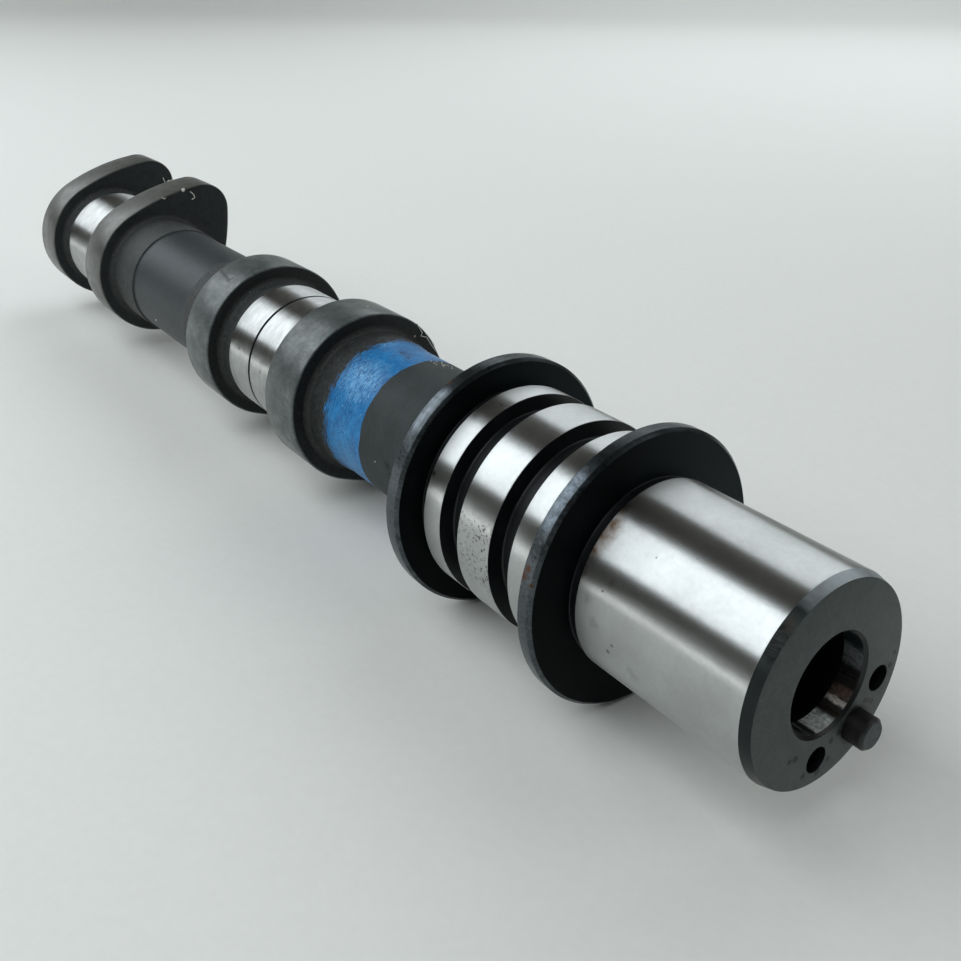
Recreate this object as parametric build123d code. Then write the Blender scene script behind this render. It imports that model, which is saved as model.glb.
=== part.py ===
from build123d import *
import os
from math import cos, radians, sin, sqrt

# Overhead camshaft of a flat four-cylinder engine: one casting, turned, ground and drilled, with a dowel
# pin pressed into its front end. Millimetres. The shaft lies along X with its front end, the nose, at +X.
# The origin is on the axis, midway between the two thrust flanges. Z is up as the shaft lies on a table.
# A clock angle is seen from the nose end: 0 is straight up and it grows to the right, towards +Y.

# Stations are lengths along the shaft, walked from the nose face towards the rear.
nose_length = 32.0
nose_relief_width = 1.7
front_flange_width = 3.2
thrust_relief_width = 1.95
front_land_width = 5.15
oil_groove_width = 4.9
middle_land_width = 8.1
rear_land_width = 4.5
rear_flange_width = 3.65
journal_spacing = 113.0
thrust_to_journal = 87.7
journal_width = 20.3
lobe_width = 12.0
lobe_gap = 29.0
front_turned_end = 6.3
middle_turned_front = 11.0
middle_turned_rear = 15.2
rear_boss_length = 3.0

# Radii of the turned and ground sections.
nose_radius = 16.0
flange_radius = 23.3
land_radius = 19.0
journal_radius = 15.0
turned_radius = 14.25
cast_radius = 14.7
relief_depth = 0.5
thrust_relief_depth = 1.2
oil_groove_depth = 3.0
rear_boss_radius = 11.0

# Cam profile: a base circle, a small nose circle and two convex flanks that touch both.
base_radius = 18.5
cam_lift = 9.9
cam_nose_radius = 7.9
flank_radius = 60.0
front_pair_clock = 131.5
pair_phase = 90.0

# Edges.
nose_lead_length = 1.8
nose_lead_height = 0.5
flange_chamfer = 0.6
lobe_chamfer = 0.3
cast_fillet = 1.3
groove_corner = 0.5
hub_margin = 0.3
boss_chamfer = 1.0
journal_mark_width = 0.9
journal_mark_depth = 0.35

# Holes in the nose: bolt hole with its pilot, two oil ways and the dowel's seat on one circle.
pilot_radius = 7.6
pilot_chamfer = 0.45
pilot_depth = 3.5
chamber_radius = 8.2
chamber_depth = 10.0
thread_minor_radius = 5.3
thread_end_depth = 46.0
drill_point_angle = 59.0
hole_circle_radius = 11.65
oil_way_radius = 2.0
front_oil_way_clock = 107.2
rear_oil_way_clock = 183.4
centre_hole_radius = 2.5
centre_hole_angle = 30.0

# Dowel pin, a line-to-line press fit in its seat.
dowel_radius = 2.5
dowel_clock = 142.8
dowel_seat_depth = 8.0
dowel_stand_out = 3.0
dowel_chamfer = 0.5
dowel_end_gap = 0.5
dowel_seat_chamfer = 0.25

# Stations worked out from the widths above.
flange_front = nose_length + nose_relief_width
flange_back = flange_front + front_flange_width
front_land = flange_back + thrust_relief_width
front_groove = front_land + front_land_width
middle_land = front_groove + oil_groove_width
rear_groove = middle_land + middle_land_width
rear_land = rear_groove + oil_groove_width
rear_relief = rear_land + rear_land_width
rear_flange = rear_relief + thrust_relief_width
body_start = rear_flange + rear_flange_width
thrust_centre = (flange_back + rear_flange) / 2
front_journal_centre = thrust_centre + thrust_to_journal
rear_journal_centre = front_journal_centre + journal_spacing


def lobe_fronts(journal_centre):
    """Stations of the front faces of the two lobes beside one journal."""
    return journal_centre - lobe_gap / 2 - lobe_width, journal_centre + lobe_gap / 2


lobes = [*lobe_fronts(front_journal_centre), *lobe_fronts(rear_journal_centre)]
shaft_end = lobes[3] + lobe_width + rear_boss_length


def x_at(station):
    """X in the row's frame of a station walked from the nose face."""
    return thrust_centre - station


def clock(radius, angle):
    """The point at this radius and clock angle, as Y and Z."""
    return radius * sin(radians(angle)), radius * cos(radians(angle))


def cone_depth(radius, half_angle):
    """Length of a cone with this mouth radius and half angle."""
    return radius * cos(radians(half_angle)) / sin(radians(half_angle))


def step(points, station, radius):
    """Carry a turned outline along to a station, then out or in to a radius."""
    points.append((x_at(station), points[-1][1]))
    points.append((x_at(station), radius))


def corners(profile, places):
    """The corners of an outline that lie at these stations and radii."""
    chosen = []
    for station, radius in places:
        chosen.append(profile.vertices().sort_by_distance(Vector(x_at(station), radius, 0))[0])
    return chosen


def shaft_outline():
    """Half section of the whole turned and ground shaft, on the XY plane with radius along Y."""
    relief_radius = nose_radius - relief_depth
    thrust_relief_radius = land_radius - thrust_relief_depth
    groove_radius = land_radius - oil_groove_depth
    hub_radius = cast_radius + cast_fillet + hub_margin
    points = [(x_at(0), 0), (x_at(0), nose_radius - nose_lead_height), (x_at(nose_lead_length), nose_radius)]
    step(points, nose_length, relief_radius)
    step(points, flange_front, flange_radius)
    step(points, flange_back, thrust_relief_radius)
    step(points, front_land, land_radius)
    step(points, front_groove, groove_radius)
    step(points, middle_land, land_radius)
    step(points, rear_groove, groove_radius)
    step(points, rear_land, land_radius)
    step(points, rear_relief, thrust_relief_radius)
    step(points, rear_flange, flange_radius)
    step(points, body_start, turned_radius)
    step(points, lobes[0] - front_turned_end, cast_radius)
    step(points, lobes[0], hub_radius)
    step(points, lobes[0] + lobe_width, cast_radius)
    step(points, front_journal_centre - journal_width / 2, journal_radius)
    step(points, front_journal_centre - journal_mark_width / 2, journal_radius - journal_mark_depth)
    step(points, front_journal_centre + journal_mark_width / 2, journal_radius)
    step(points, front_journal_centre + journal_width / 2, cast_radius)
    step(points, lobes[1], hub_radius)
    step(points, lobes[1] + lobe_width, cast_radius)
    step(points, lobes[1] + lobe_width + middle_turned_front, turned_radius)
    step(points, lobes[2] - middle_turned_rear, cast_radius)
    step(points, lobes[2], hub_radius)
    step(points, lobes[2] + lobe_width, cast_radius)
    step(points, rear_journal_centre - journal_width / 2, journal_radius)
    step(points, rear_journal_centre + journal_width / 2, cast_radius)
    step(points, lobes[3], hub_radius)
    step(points, lobes[3] + lobe_width, rear_boss_radius)
    step(points, shaft_end, centre_hole_radius)
    points.append((x_at(shaft_end - cone_depth(centre_hole_radius, centre_hole_angle)), 0))
    profile = make_face(Polyline(*points, close=True))

    cast_corners = [(station, cast_radius) for station in lobes]
    cast_corners += [(station + lobe_width, cast_radius) for station in lobes[:3]]
    cast_corners.append((body_start, turned_radius))
    profile = fillet(corners(profile, cast_corners), cast_fillet)
    groove_corners = [(front_groove, groove_radius), (middle_land, groove_radius)]
    groove_corners += [(rear_groove, groove_radius), (rear_land, groove_radius)]
    profile = chamfer(corners(profile, groove_corners), groove_corner)
    flange_corners = [(s, flange_radius) for s in (flange_front, flange_back, rear_flange, body_start)]
    profile = chamfer(corners(profile, flange_corners), flange_chamfer)
    return chamfer(corners(profile, [(shaft_end, rear_boss_radius)]), boss_chamfer)


def cam_outline():
    """Section of one lobe with its nose straight up, on the plane across the shaft."""
    nose_centre = base_radius + cam_lift - cam_nose_radius
    base_reach = flank_radius - base_radius
    nose_reach = flank_radius - cam_nose_radius
    centre_up = (base_reach**2 - nose_reach**2 + nose_centre**2) / (2 * nose_centre)
    centre_across = sqrt(base_reach**2 - centre_up**2)

    def on_flank(across, up):
        """Where the line from the flank's centre through a point meets the flank."""
        reach = Vector(across + centre_across, up - centre_up).normalized() * flank_radius
        return reach.X - centre_across, reach.Y + centre_up

    def mirrored(point):
        return -point[0], point[1]

    base_touch = on_flank(0, 0)
    nose_touch = on_flank(0, nose_centre)
    middle = on_flank((base_touch[0] + nose_touch[0]) / 2, (base_touch[1] + nose_touch[1]) / 2)
    outline = ThreePointArc(base_touch, middle, nose_touch)
    outline += ThreePointArc(nose_touch, (0, base_radius + cam_lift), mirrored(nose_touch))
    outline += ThreePointArc(mirrored(nose_touch), mirrored(middle), mirrored(base_touch))
    outline += ThreePointArc(mirrored(base_touch), (0, -base_radius), base_touch)
    return make_face(outline)


def lobe(station, nose_clock):
    """One ground lobe with its front face at the station."""
    blank = extrude(Plane.YZ * cam_outline(), -lobe_width)
    rims = blank.edges().filter_by(Plane.YZ)
    return Pos(x_at(station), 0, 0) * Rot(-nose_clock, 0, 0) * chamfer(rims, lobe_chamfer)


def bolt_hole():
    """Pilot, oil chamber and tapped hole with a drill point, as one turned cutter."""
    points = [(x_at(0), 0), (x_at(0), pilot_radius + pilot_chamfer), (x_at(pilot_chamfer), pilot_radius)]
    step(points, pilot_depth, chamber_radius)
    points.append((x_at(chamber_depth), chamber_radius))
    points.append((x_at(chamber_depth + chamber_radius - thread_minor_radius), thread_minor_radius))
    points.append((x_at(thread_end_depth), thread_minor_radius))
    points.append((x_at(thread_end_depth + cone_depth(thread_minor_radius, drill_point_angle)), 0))
    return revolve(make_face(Polyline(*points, close=True)), Axis.X)


def into_nose(cutter, angle):
    """A tool that points up, turned to enter the nose face on the hole circle."""
    across, up = clock(hole_circle_radius, angle)
    return Pos(x_at(0), across, up) * Rot(0, -90, 0) * cutter


def rod(radius, length):
    """A plain cylinder that stands on the origin."""
    return Cylinder(radius, length, align=(Align.CENTER, Align.CENTER, Align.MIN))


def oil_way(angle, groove_station):
    """An oil way from the nose face to under one oil groove, and the cross drilling that meets it there."""
    under_groove = groove_station + oil_groove_width / 2
    along = into_nose(rod(oil_way_radius, under_groove + oil_way_radius), angle)
    across = Pos(0, 0, hole_circle_radius) * rod(oil_way_radius, land_radius - hole_circle_radius)
    return along + Pos(x_at(under_groove), 0, 0) * Rot(-angle, 0, 0) * across


def dowel_seat():
    """The dowel's hole with a small countersink at its mouth."""
    mouth = Cone(dowel_radius + dowel_seat_chamfer, dowel_radius, dowel_seat_chamfer,
                 align=(Align.CENTER, Align.CENTER, Align.MIN))
    return into_nose(rod(dowel_radius, dowel_seat_depth) + mouth, dowel_clock)


def camshaft():
    shaft = revolve(shaft_outline(), Axis.X)
    clocks = [front_pair_clock] * 2 + [front_pair_clock - pair_phase] * 2
    for station, nose_clock in zip(lobes, clocks):
        shaft += lobe(station, nose_clock)
    shaft -= bolt_hole()
    shaft -= oil_way(front_oil_way_clock, front_groove)
    shaft -= oil_way(rear_oil_way_clock, rear_groove)
    return shaft - dowel_seat()


def dowel_pin():
    length = dowel_seat_depth - dowel_end_gap + dowel_stand_out
    blank = rod(dowel_radius, length)
    pin = chamfer(blank.edges().filter_by(GeomType.CIRCLE), dowel_chamfer)
    return into_nose(Pos(0, 0, -dowel_stand_out) * pin, dowel_clock)


os.makedirs("parts", exist_ok=True)
nodes = {"camshaft": camshaft(), "dowel_pin": dowel_pin()}
for name, solid in nodes.items():
    solid.label = name
    export_step(solid, f"parts/{name}.step")
    print(name, "volume", round(solid.volume), "valid", solid.is_valid)
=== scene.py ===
from math import atan2, cos, degrees, pi, radians, sin, sqrt, tan

import bmesh
import bpy
from mathutils import Matrix, Vector, noise


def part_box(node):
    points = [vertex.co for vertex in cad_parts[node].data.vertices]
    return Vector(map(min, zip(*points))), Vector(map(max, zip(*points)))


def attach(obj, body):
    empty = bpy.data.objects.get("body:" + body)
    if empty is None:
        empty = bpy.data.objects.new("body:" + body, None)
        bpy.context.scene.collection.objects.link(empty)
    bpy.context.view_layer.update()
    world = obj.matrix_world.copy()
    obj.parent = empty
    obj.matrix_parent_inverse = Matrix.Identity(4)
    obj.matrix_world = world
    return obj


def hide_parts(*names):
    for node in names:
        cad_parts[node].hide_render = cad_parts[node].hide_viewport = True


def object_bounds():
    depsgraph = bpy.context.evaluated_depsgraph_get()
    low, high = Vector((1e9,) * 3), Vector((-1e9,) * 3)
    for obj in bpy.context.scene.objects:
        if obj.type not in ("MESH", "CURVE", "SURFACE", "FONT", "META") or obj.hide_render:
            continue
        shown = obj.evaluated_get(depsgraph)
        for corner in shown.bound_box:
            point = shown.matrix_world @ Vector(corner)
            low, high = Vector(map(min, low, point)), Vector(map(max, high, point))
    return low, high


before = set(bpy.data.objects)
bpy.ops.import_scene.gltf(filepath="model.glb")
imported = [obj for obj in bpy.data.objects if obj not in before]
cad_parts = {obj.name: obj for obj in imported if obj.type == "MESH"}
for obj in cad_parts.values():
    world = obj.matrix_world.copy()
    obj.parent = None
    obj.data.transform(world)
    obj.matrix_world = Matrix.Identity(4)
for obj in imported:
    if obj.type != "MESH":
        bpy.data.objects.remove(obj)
cad_low, cad_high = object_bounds()

# The shaft lies along X with its nose at +X. Sizes are millimetres until a mesh is made.
# A station is a length walked from the nose face to the rear.
# A clock angle is seen from the nose: 0 is up and it grows towards +Y.
MM = 0.001
shaft_low, shaft_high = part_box("camshaft")
nose_face_x = shaft_high.x / MM

# Stations, from the nose face.
nose_end = 32.0
front_flange = (33.7, 36.9)
front_land = (38.85, 44.0)
middle_land = (48.9, 57.0)
rear_land = (61.9, 66.4)
rear_flange = (68.35, 72.0)
cast_start = 107.525
lobe_width = 12.0
lobe_fronts = (113.825, 154.825, 226.825, 267.825)
middle_journal = (130.175, 150.475)
rear_journal = (243.175, 263.475)
middle_turned = (177.825, 211.625)
shaft_end = (shaft_high.x - shaft_low.x) / MM

# Radii.
nose_radius = 16.0
nose_lead = 0.5
nose_lead_length = 1.8
flange_radius = min(-shaft_low.y, shaft_high.y, -shaft_low.z, shaft_high.z) / MM
flange_chamfer = 0.6
land_radius = 19.0
journal_radius = 15.0
turned_radius = 14.25
cast_radius = 14.7
nose_relief_radius = 15.5
thrust_relief_radius = 17.8
groove_radius = 16.0
rear_boss_radius = 11.0
rear_boss_chamfer = 1.0
centre_hole_radius = 2.5
centre_hole_depth = 4.0
journal_mark = (0.9, 0.35)
fillet_radius = 1.3

# Cam: base circle, nose circle and flanks, with the clock angle of each lobe's nose.
base_radius = 18.5
cam_lift = 9.9
cam_nose_radius = 7.9
flank_radius = 60.0
lobe_clocks = (131.5, 131.5, 41.5, 41.5)

# Holes in the nose.
pilot_radius = 7.6
pilot_depth = 3.5
pilot_chamfer = 0.45
chamber_radius = 8.2
chamber_depth = 10.0
thread_minor = 5.3
thread_major = 6.0
thread_pitch = 1.25
thread_start = 13.2
thread_end = 46.0
drill_point_length = 3.1
hole_circle = 11.65
oil_way_radius = 2.0
oil_ways = ((107.2, 46.45), (183.4, 59.45))
dowel_radius = 2.5
dowel_clock = 142.8
dowel_stand_out = 3.0
dowel_seat_depth = 8.0
dowel_length = 10.5
dowel_chamfer = 0.5

# How finely the turned surfaces are divided.
around = 240
edge_steps = 3


def x_at(station):
    """X in millimetres of a station."""
    return nose_face_x - station


def at_clock(radius, angle):
    """Y and Z of the point at a radius and clock angle."""
    return radius * sin(radians(angle)), radius * cos(radians(angle))


def place(station, radius, angle):
    """A point in metres from its station, radius and clock angle."""
    return Vector((x_at(station), *at_clock(radius, angle))) * MM


def rounded(corners):
    """An outline of (station, radius, rounding) corners, with each corner turned into a small arc."""
    outline = []
    for index, (station, radius, rounding) in enumerate(corners):
        here = Vector((station, radius))
        if not rounding or index in (0, len(corners) - 1):
            outline.append((station, radius))
            continue
        back = (Vector(corners[index - 1][:2]) - here).normalized()
        ahead = (Vector(corners[index + 1][:2]) - here).normalized()
        half_turn = (pi - back.angle(ahead)) / 2
        reach = rounding * tan(half_turn)
        centre = here + (back + ahead).normalized() * rounding / cos(half_turn)
        start = here + back * reach - centre
        end = here + ahead * reach - centre
        for step in range(edge_steps + 1):
            share = step / edge_steps
            spoke = start.slerp(end, share) * rounding
            outline.append(tuple(centre + spoke))
    return outline


def cam_ring(nose_clock, inset=0.0):
    """Radii of one lobe's outline at every division, with the outline drawn in by an inset."""
    base = base_radius - inset
    tip = cam_nose_radius - inset
    flank = flank_radius - inset
    tip_up = base_radius + cam_lift - cam_nose_radius
    centre_up = ((flank - base) ** 2 - (flank - tip) ** 2 + tip_up ** 2) / (2 * tip_up)
    centre_across = sqrt((flank - base) ** 2 - centre_up ** 2)
    base_touch = degrees(atan2(centre_across, -centre_up))
    reach = (Vector((centre_across, tip_up - centre_up))).normalized() * flank
    tip_touch = degrees(atan2(reach.x - centre_across, reach.y + centre_up))
    radii = []
    for division in range(around):
        turn = (division * 360 / around - nose_clock + 180) % 360 - 180
        off_nose = radians(abs(turn))
        if abs(turn) > base_touch:
            radii.append(base)
        elif abs(turn) < tip_touch:
            radii.append(tip_up * cos(off_nose) + sqrt(tip ** 2 - (tip_up * sin(off_nose)) ** 2))
        else:
            along = centre_up * cos(off_nose) - centre_across * sin(off_nose)
            radii.append(along + sqrt(flank ** 2 - centre_up ** 2 - centre_across ** 2 + along ** 2))
    return radii


def lobe_rows(front, nose_clock, face_root):
    """Rings of one lobe: up its front face, over the rounded rim and down its rear face."""
    edge = 0.35
    face_rings = 5
    rows = []
    for ring in range(1, face_rings):
        share = ring / face_rings
        rows.append((front, [face_root + (r - face_root) * share for r in cam_ring(nose_clock, edge)]))
    for step in range(edge_steps + 1):
        turn = pi / 2 * step / edge_steps
        rows.append((front + edge * (1 - cos(turn)), cam_ring(nose_clock, edge * (1 - sin(turn)))))
    rows += [(2 * front + lobe_width - station, radii) for station, radii in reversed(rows)]
    return rows


def as_rows(outline):
    """Round rings from an outline, with long stretches divided so that their skin can be shaped."""
    longest = 2.5
    rows = []
    for (station, radius), following in zip(outline, outline[1:] + [outline[-1]]):
        rows.append((station, [radius] * around))
        pieces = int(abs(following[0] - station) / longest)
        for piece in range(1, pieces + 1):
            share = piece / (pieces + 1)
            here = station + (following[0] - station) * share
            rows.append((here, [radius + (following[1] - radius) * share] * around))
    return rows


def flange_corners(flange, edge):
    """The rim of a flange with its two chamfers."""
    front, rear = flange
    low = flange_radius - flange_chamfer
    return [(front, low, edge), (front + flange_chamfer, flange_radius, edge),
            (rear - flange_chamfer, flange_radius, edge), (rear, low, edge)]


def shaft_rows():
    """All rings of the shaft's outside, from the nose face to the rear boss."""
    sharp, soft, cast, step, slope = 0.15, 0.35, fillet_radius, 0.2, 6.0
    root = cast_radius + cast
    land_corners = []
    for front, rear, ahead, behind in (
        (*front_land, thrust_relief_radius, groove_radius),
        (*middle_land, groove_radius, groove_radius),
        (*rear_land, groove_radius, thrust_relief_radius),
    ):
        land_corners += [(front, ahead, soft), (front, land_radius, sharp)]
        land_corners += [(rear, land_radius, sharp), (rear, behind, soft)]
    head = [
        (0, nose_radius - nose_lead - 0.2, 0), (0.08, nose_radius - nose_lead, 0),
        (nose_lead_length, nose_radius, 0.8), (nose_end, nose_radius, sharp),
        (nose_end, nose_relief_radius, sharp), (front_flange[0], nose_relief_radius, sharp),
        *flange_corners(front_flange, sharp), (front_flange[1], thrust_relief_radius, sharp),
        *land_corners,
        (rear_flange[0], thrust_relief_radius, sharp), *flange_corners(rear_flange, sharp),
        (rear_flange[1], turned_radius, cast),
        (cast_start - 1.8, turned_radius, slope), (cast_start + 1.0, cast_radius, slope),
        (lobe_fronts[0], cast_radius, cast), (lobe_fronts[0], root, 0),
    ]
    mark_width, mark_depth = journal_mark
    mark = sum(middle_journal) / 2
    marked_journal = [
        (middle_journal[0], cast_radius, 0), (middle_journal[0] + step, journal_radius, sharp),
        (mark - mark_width / 2, journal_radius, 0), (mark - mark_width / 4, journal_radius - mark_depth, 0),
        (mark + mark_width / 4, journal_radius - mark_depth, 0), (mark + mark_width / 2, journal_radius, 0),
        (middle_journal[1] - step, journal_radius, sharp), (middle_journal[1], cast_radius, 0),
    ]
    turned_body = [
        (middle_turned[0] - step, cast_radius, sharp), (middle_turned[0], turned_radius, sharp),
        (middle_turned[1], turned_radius, sharp), (middle_turned[1] + step, cast_radius, sharp),
    ]
    plain_journal = [
        (rear_journal[0], cast_radius, 0), (rear_journal[0] + step, journal_radius, sharp),
        (rear_journal[1] - step, journal_radius, sharp), (rear_journal[1], cast_radius, 0),
    ]
    last_face = lobe_fronts[3] + lobe_width
    tail = [
        (last_face, rear_boss_radius + 2, 0), (last_face, rear_boss_radius, 0.6),
        (shaft_end - rear_boss_chamfer, rear_boss_radius, sharp),
        (shaft_end, rear_boss_radius - rear_boss_chamfer, sharp),
        (shaft_end, centre_hole_radius, sharp), (shaft_end - centre_hole_depth, 0.15, 0),
    ]
    rows = as_rows(rounded(head))
    for lobe, behind in enumerate((marked_journal, turned_body, plain_journal, None)):
        rows += lobe_rows(lobe_fronts[lobe], lobe_clocks[lobe], root)
        if behind:
            face, ahead = lobe_fronts[lobe] + lobe_width, lobe_fronts[lobe + 1]
            outline = [(face, root, 0), (face, cast_radius, cast), *behind,
                       (ahead, cast_radius, cast), (ahead, root, 0)]
            rows += as_rows(rounded(outline))
    return rows + as_rows(rounded(tail))


def join_rings(body, rings):
    """Faces from ring to ring, and a flat cap on each end."""
    for ring, following in zip(rings, rings[1:]):
        for here in range(len(ring)):
            after = (here + 1) % len(ring)
            body.faces.new((ring[here], ring[after], following[after], following[here]))
    body.faces.new(list(reversed(rings[0])))
    body.faces.new(rings[-1])


def skin_of_rows(name, rows):
    """A closed mesh through rings round X. A row is a station and its evenly spread radii."""
    body = bmesh.new()
    rings = []
    for station, radii in rows:
        ring = []
        for division, radius in enumerate(radii):
            ring.append(body.verts.new(place(station, radius, division * 360 / len(radii))))
        rings.append(ring)
    join_rings(body, rings)
    bmesh.ops.recalc_face_normals(body, faces=body.faces)
    return as_object(name, body)


def as_object(name, body):
    """A Blender object from a mesh under construction."""
    mesh = bpy.data.meshes.new(name)
    body.to_mesh(mesh)
    body.free()
    made = bpy.data.objects.new(name, mesh)
    bpy.context.scene.collection.objects.link(made)
    return made


def turned_piece(name, outline, divisions, radius_of=None):
    """A closed piece turned round X from (station, radius) points."""
    rows = []
    for station, radius in outline:
        radii = [radius] * divisions
        if radius_of:
            radii = [radius_of(station, radius, step * 360 / divisions) for step in range(divisions)]
        rows.append((station, radii))
    return skin_of_rows(name, rows)


def rod_tool(name, radius, start, end):
    """A round cutter between two points."""
    divisions = 48
    tool = bmesh.new()
    along = end - start
    turn = along.to_track_quat("Z", "Y").to_matrix().to_4x4()
    middle = Matrix.Translation((start + end) / 2) @ turn
    bmesh.ops.create_cone(tool, cap_ends=True, segments=divisions, radius1=radius * MM, radius2=radius * MM,
                          depth=along.length, matrix=middle)
    return as_object(name, tool)


def cut(piece, tool):
    """Cut a tool out of a piece and delete the tool."""
    knife = piece.modifiers.new("cut", "BOOLEAN")
    knife.operation = "DIFFERENCE"
    knife.solver = "EXACT"
    knife.object = tool
    graph = bpy.context.evaluated_depsgraph_get()
    mesh = bpy.data.meshes.new_from_object(piece.evaluated_get(graph))
    piece.modifiers.clear()
    old = piece.data
    piece.data = mesh
    bpy.data.meshes.remove(old)
    bpy.data.objects.remove(tool)


def thread_reach(station, radius, angle):
    """Radius of the tapped wall: a triangular groove that winds round the hole, fading at both ends."""
    fade = min(1.0, station - thread_start, thread_end - station)
    if radius != thread_minor or fade <= 0:
        return radius
    wound = (station / thread_pitch - angle / 360) % 1.0
    depth = 1 - abs(2 * wound - 1)
    # The groove is a quarter deeper than its walls run, which leaves it a flat floor.
    return thread_minor + (thread_major - thread_minor) * min(1.0, depth * 1.25) * fade


def bolt_hole_tool():
    """Pilot, oil chamber, tapped hole and drill point."""
    ahead = -1.0
    chamber_end = chamber_depth + chamber_radius - thread_minor
    outline = [(ahead, pilot_radius + pilot_chamfer - ahead), (pilot_chamfer, pilot_radius),
               (pilot_depth, pilot_radius), (pilot_depth + 0.05, chamber_radius),
               (chamber_depth, chamber_radius), (chamber_end, thread_minor)]
    steps_a_turn = 8
    first_step = 13.0
    steps = int((thread_end - thread_start) / thread_pitch * steps_a_turn)
    for step in range(1, steps + 1):
        outline.append((first_step + step * thread_pitch / steps_a_turn, thread_minor))
    outline.append((thread_end + drill_point_length, 0.1))
    return turned_piece("bolt_hole_tool", outline, 72, thread_reach)


def drill_nose(shaft):
    """Bolt hole, oil ways with their cross drillings, and the dowel's seat."""
    cut(shaft, bolt_hole_tool())
    for angle, groove in oil_ways:
        cut(shaft, rod_tool("oil_way", oil_way_radius, place(-1, hole_circle, angle),
                            place(groove + oil_way_radius, hole_circle, angle)))
        cut(shaft, rod_tool("cross_drilling", oil_way_radius, place(groove, hole_circle - 1, angle),
                            place(groove, land_radius, angle)))
    cut(shaft, rod_tool("dowel_seat", dowel_radius + 0.02, place(-1, hole_circle, dowel_clock),
                        place(dowel_seat_depth, hole_circle, dowel_clock)))


# The band of marking paint, and a margin for faces at a shoulder.
paint_front, paint_rear = 95.0, 107.3
hair = 0.02


def finish_at(station, radius, along):
    """Name of the finish at a place on the shaft. along is how far the face looks along the axis, 0 to 1."""
    if radius < chamber_radius + 0.1 and hair < station < thread_end + 5:
        reamed = pilot_chamfer < station < pilot_depth and along < 0.8
        return "oily_bore_wall" if reamed else "black_oil_and_shade"
    if station < 3 * hair:
        return "phosphated_nose_face"
    if station < nose_lead_length - 0.15 and radius > nose_radius - nose_lead - 0.1:
        return "nose_lead_iron"
    if station < nose_end - 0.05:
        return "ground_iron" if radius > nose_radius - 0.3 else "black_oil_and_shade"
    if station < front_flange[0] - hair:
        return "black_oil_and_shade"
    for flange in (front_flange, rear_flange):
        if flange[0] - hair <= station <= flange[1] + hair and radius > land_radius:
            return "worn_flange_rim" if along < 0.9 else "black_flange_face"
    if station < rear_flange[0] + hair:
        return "ground_iron" if radius > land_radius - 0.1 and along < 0.9 else "black_oil_and_shade"
    if abs(station - sum(middle_journal) / 2) < journal_mark[0] / 2:
        return "black_oil_and_shade"
    for journal in (middle_journal, rear_journal):
        if journal[0] + 0.1 < station < journal[1] - 0.1:
            return "ground_iron"
    for front in lobe_fronts:
        rear = front + lobe_width
        if front + hair < station < rear - hair and along < 0.97:
            return "cam_track_iron"
        if front - hair < station < rear + hair and radius > cast_radius + fillet_radius + hair:
            return "black_lobe_side"
    if paint_front - 3 < station < lobe_fronts[0] - 0.5:
        return "painted_turned_iron"
    if station < cast_start:
        return "dull_turned_iron"
    if middle_turned[0] - 0.1 < station < middle_turned[1] + 0.1 or station > lobe_fronts[3] + lobe_width:
        return "satin_turned_iron"
    return "cast_iron_skin"


def linear(code):
    """Linear colour from an sRGB hex value."""
    parts = [int(code[start:start + 2], 16) / 255 for start in (1, 3, 5)]
    return (*[p / 12.92 if p <= 0.04045 else ((p + 0.055) / 1.055) ** 2.4 for p in parts], 1.0)


def add(tree, kind, settings, output=0):
    """Add a node and give back one output. A setting is a property, or an input given a value or a link."""
    node = tree.nodes.new(kind)
    for name, value in settings.items():
        if isinstance(name, str) and hasattr(node, name):
            setattr(node, name, value)
        elif isinstance(value, bpy.types.NodeSocket):
            tree.links.new(value, node.inputs[name])
        else:
            node.inputs[name].default_value = value
    return node.outputs[output] if len(node.outputs) else None


def open_finish(name):
    """A new material, its empty node tree, and its place socket: the mesh's own millimetres."""
    material = bpy.data.materials.new(name)
    material.use_nodes = True
    tree = material.node_tree
    tree.nodes.clear()
    own = add(tree, "ShaderNodeTexCoord", {}, 3)
    where = add(tree, "ShaderNodeVectorMath", {"operation": "SCALE", 0: own, "Scale": 1 / MM})
    return material, tree, where


def close_finish(tree, height=None, depth=0.0, **settings):
    """Give the material a surface with these settings, which may rise and fall by a depth in mm."""
    named = {}
    for name, value in settings.items():
        named[name.replace("_", " ").title().replace("Ior", "IOR")] = value
    if height is not None:
        relief = {"Height": height, "Distance": depth * MM, "Strength": 1.0}
        named["Normal"] = add(tree, "ShaderNodeBump", relief)
    surface = add(tree, "ShaderNodeBsdfPrincipled", named)
    add(tree, "ShaderNodeOutputMaterial", {"Surface": surface})


def layered(tree, base, coats):
    """A base colour with (cover, colour) coats laid over it in turn. A colour is a hex code or a socket."""
    colour = base
    for cover, coat in coats:
        under, over = [linear(part) if isinstance(part, str) else part for part in (colour, coat)]
        colour = add(tree, "ShaderNodeMix", {"data_type": "RGBA", 0: cover, 6: under, 7: over}, 2)
    return colour


def mottling(tree, where, size, contrast=0.2, drawn=(1, 1, 1), low=0.0, high=1.0):
    """A random pattern from low to high. Its patches have a size in mm, drawn out along X, Y and Z."""
    shape = tuple(1 / (size * longer) for longer in drawn)
    spot = add(tree, "ShaderNodeVectorMath", {"operation": "MULTIPLY", 0: where, 1: shape})
    grain = add(tree, "ShaderNodeTexNoise", {"Vector": spot, "Scale": 1.0, "Detail": 4.0})
    limits = {"From Min": 0.5 - contrast, "From Max": 0.5 + contrast, "To Min": low, "To Max": high}
    return add(tree, "ShaderNodeMapRange", {"Value": grain, **limits})


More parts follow.
